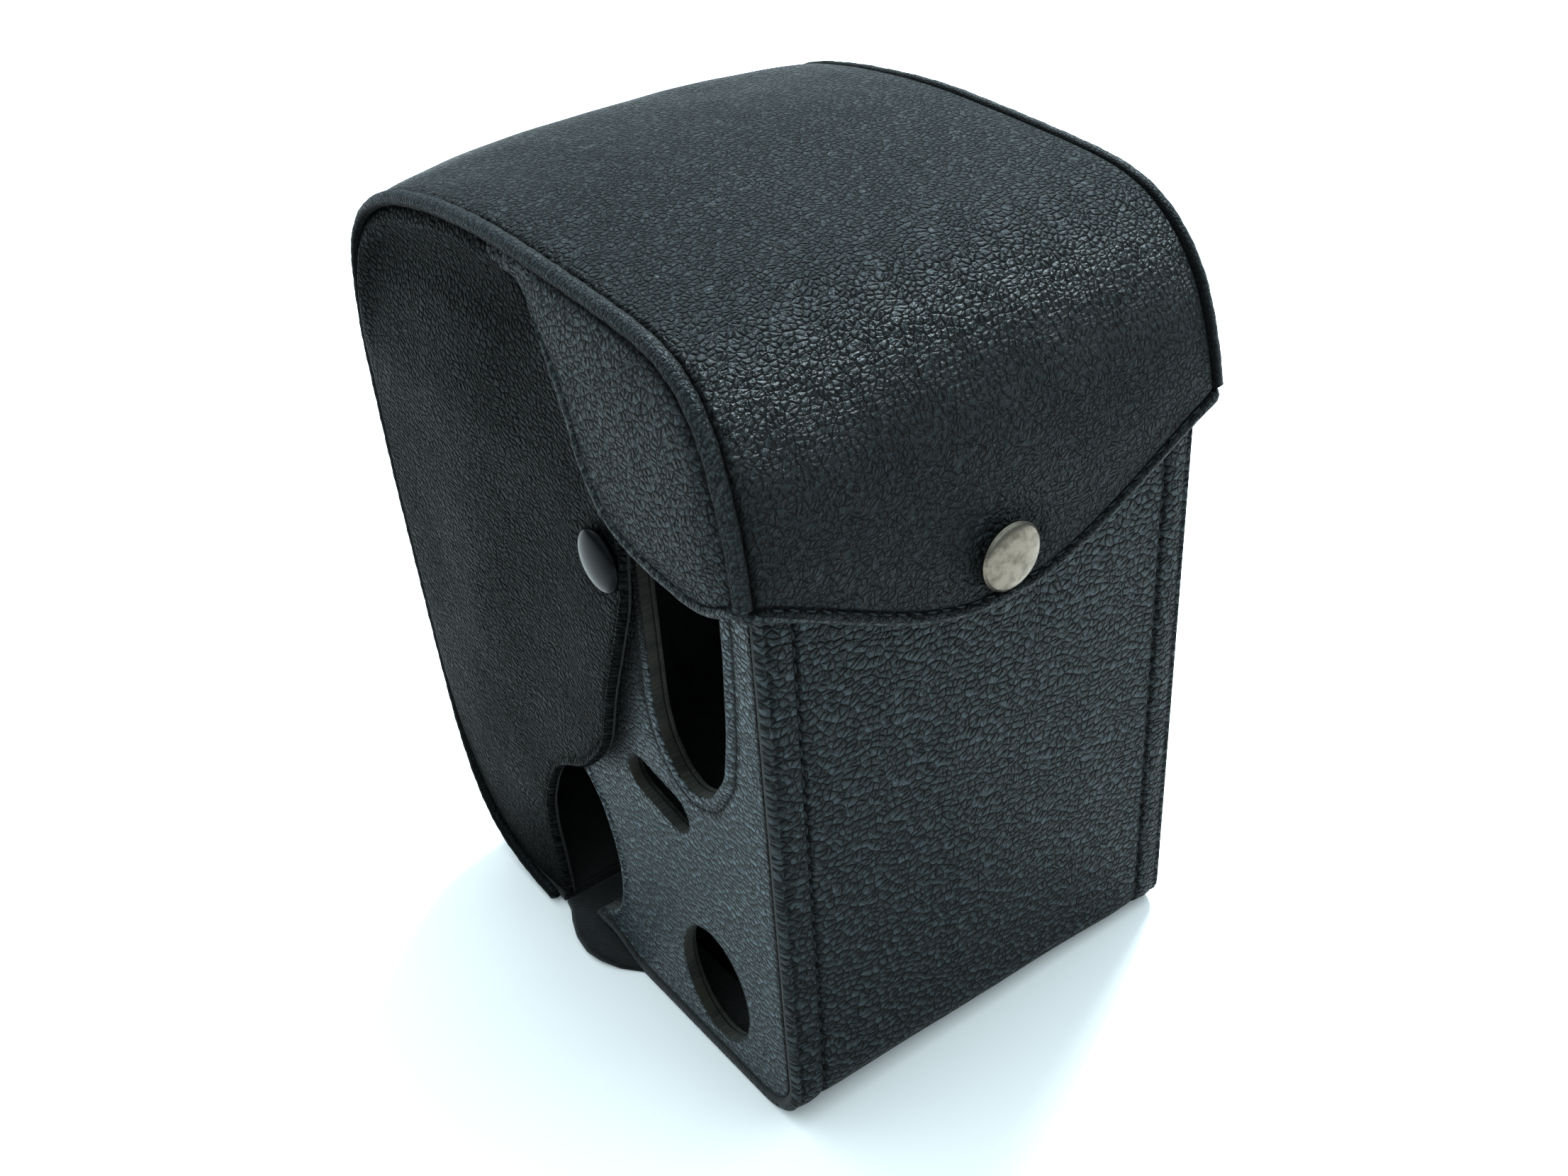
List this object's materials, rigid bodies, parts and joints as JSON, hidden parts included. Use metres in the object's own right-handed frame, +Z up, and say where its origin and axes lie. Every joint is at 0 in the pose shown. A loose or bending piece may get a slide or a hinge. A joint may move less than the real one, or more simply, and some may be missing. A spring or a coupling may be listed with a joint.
{
  "type": "camera case",
  "caption": "Hard leather ever-ready case for a twin-lens camera, with a folding lid, a bulged front cover and two side ears that snap to the box.",
  "frame": {"origin": "centre of the bounding box in X and Y, at the bottom of the case", "axes": "+Z up, +Y towards the bulged front cover, -Y towards the rear flap of the lid, +X across the case"},
  "size_m": [0.1102, 0.1424, 0.1703],
  "materials": {
    "leather": "satin",
    "felt": "matte",
    "black_steel": "satin",
    "nickel": "polished",
    "black_enamel": "gloss"
  },
  "bodies": {
    "case": {"box_back_base": "leather", "box_side_left": "leather", "box_side_right": "leather", "cover_front": "leather", "cover_tongue": "leather", "cover_cheek_left": "leather", "cover_cheek_right": "leather", "cover_welt_left": "leather", "cover_welt_right": "leather", "lining_back_base": "felt", "lining_left": "felt", "lining_right": "felt", "cover_lining": "felt", "base_plate": "black_steel", "rear_stud": "nickel", "rear_stud_post": "nickel", "left_stud": "nickel", "left_stud_post": "nickel", "right_stud": "nickel", "right_stud_post": "nickel"},
    "screw": {"case_screw": "black_steel", "screw_clip": "nickel"},
    "lid": {"lid_panel": "leather", "lid_gusset_left": "leather", "lid_gusset_right": "leather", "lid_welt_left": "leather", "lid_welt_right": "leather", "lid_lining": "felt", "rear_snap_cap": "nickel", "rear_snap_socket": "nickel"},
    "left_ear": {"ear_left": "leather", "left_snap_cap": "black_enamel", "left_snap_socket": "nickel"},
    "right_ear": {"ear_right": "leather", "right_snap_cap": "black_enamel", "right_snap_socket": "nickel"}
  },
  "joints": [
    {"name": "lid_hinge", "type": "hinge", "parent": "case", "child": "lid", "pos_m": [0, 0.00125, 0.1704], "axis": [-1, 0, 0], "range_deg": [0, 112]},
    {"name": "left_ear_hinge", "type": "hinge", "parent": "case", "child": "left_ear", "pos_m": [-0.0527, 0.0008, 0.097], "axis": [0, 0.2309, -0.973], "range_deg": [0, 70]},
    {"name": "right_ear_hinge", "type": "hinge", "parent": "case", "child": "right_ear", "pos_m": [0.0527, 0.0008, 0.097], "axis": [0, -0.2309, 0.973], "range_deg": [0, 70]},
    {"name": "case_screw_spin", "type": "hinge", "parent": "case", "child": "screw", "pos_m": [0, -0.02875, 0], "axis": [0, 0, 1], "continuous": true}
  ]
}
